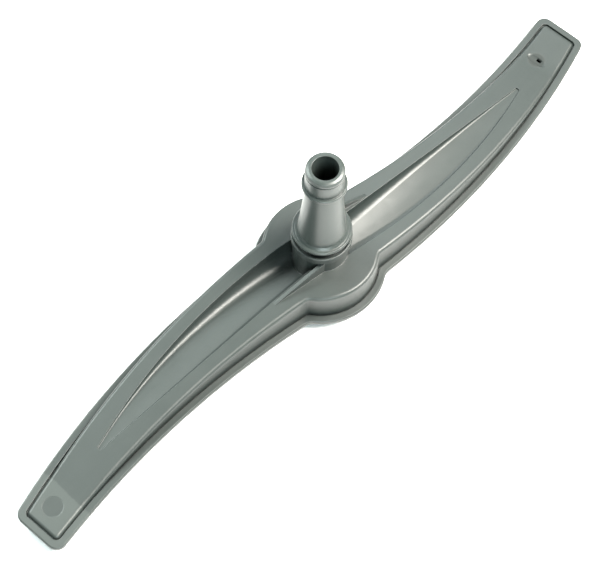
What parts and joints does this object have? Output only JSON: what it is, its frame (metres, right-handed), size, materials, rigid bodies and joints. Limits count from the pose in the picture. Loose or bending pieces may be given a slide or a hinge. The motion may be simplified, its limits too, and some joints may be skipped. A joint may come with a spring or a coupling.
{
  "type": "dishwasher spray arm",
  "caption": "S-shaped hollow plastic spray arm with leaf-shaped troughs, jet slots on its flat side and a tapered feed tube on which it spins.",
  "frame": {"origin": "on the spin axis, level with the jet tips on which the arm rests", "axes": "+Z along the spin axis towards the feed tube's nose, +X along the arm towards the tip with the drive jet"},
  "size_m": [0.4596, 0.079, 0.1208],
  "materials": {
    "arm_plastic": "satin moulded polypropylene, slate grey",
    "tube_plastic": "satin moulded acetal, slate grey"
  },
  "bodies": {
    "tube": {"feed_tube": "tube_plastic"},
    "arm": {"cover": "arm_plastic", "jet_shell": "arm_plastic"}
  },
  "joints": [
    {"name": "arm_spin", "type": "hinge", "parent": "tube", "child": "arm", "pos_m": [0, 0, 0.0445], "axis": [0, 0, 1], "continuous": true}
  ]
}
